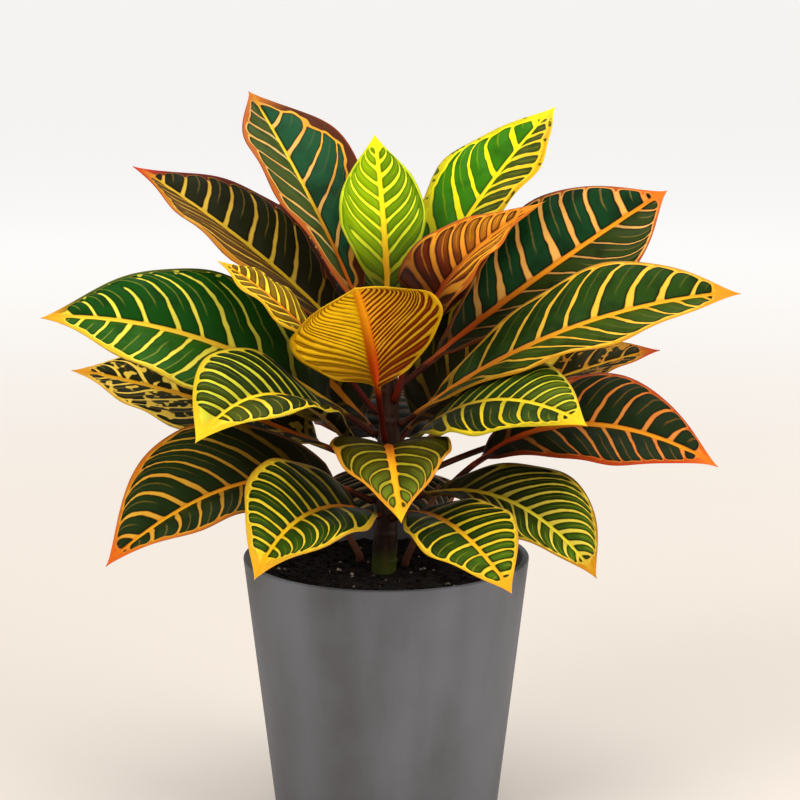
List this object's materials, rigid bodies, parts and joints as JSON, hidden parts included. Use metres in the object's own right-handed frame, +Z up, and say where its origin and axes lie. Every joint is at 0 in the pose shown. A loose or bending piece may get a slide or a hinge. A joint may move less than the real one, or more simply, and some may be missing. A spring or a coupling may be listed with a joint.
{
  "type": "potted croton",
  "caption": "House plant with broad, veined, waved leaves on an upright stem, growing in soil in a plain tapered planter.",
  "frame": {"origin": "centre of the pot's flat underside", "axes": "+Z up along the pot's axis, -Y towards the viewer of the picture, +X to that viewer's right"},
  "size_m": [0.446, 0.309, 0.469],
  "materials": {
    "pot": "matte",
    "soil": "matte",
    "stem": "matte",
    "shoot": "satin",
    "leaf_green": "satin",
    "leaf_dark_green": "satin",
    "leaf_lime": "satin",
    "leaf_olive": "satin",
    "leaf_gold": "satin",
    "leaf_red_brown": "satin"
  },
  "bodies": {
    "root": {"pot": "pot", "soil": "soil", "stem": "stem", "shoot_left": "shoot", "shoot_right": "shoot", "leaf_top_left": "leaf_dark_green", "leaf_top_middle": "leaf_lime", "leaf_top_right": "leaf_lime", "leaf_right_upper": "leaf_dark_green", "leaf_right_long": "leaf_green", "leaf_right_behind": "leaf_dark_green", "leaf_right_dark": "leaf_dark_green", "leaf_left_upper": "leaf_dark_green", "leaf_left_gold": "leaf_gold", "leaf_left_long": "leaf_green", "leaf_left_behind": "leaf_dark_green", "leaf_front_left": "leaf_green", "leaf_left_low": "leaf_dark_green", "leaf_front_left_low": "leaf_green", "leaf_centre_gold": "leaf_gold", "leaf_centre_red": "leaf_red_brown", "leaf_front_right": "leaf_green", "leaf_front_right_low": "leaf_green", "leaf_right_low": "leaf_green", "leaf_front_middle": "leaf_olive", "leaf_back_middle": "leaf_green", "leaf_back_low": "leaf_dark_green", "leaf_back_centre": "leaf_dark_green", "leaf_back_left_high": "leaf_green", "leaf_back_right_high": "leaf_dark_green", "leaf_back_left": "leaf_green", "leaf_back_right": "leaf_green", "leaf_back_left_low": "leaf_dark_green", "leaf_back_right_low": "leaf_dark_green"}
  },
  "joints": []
}
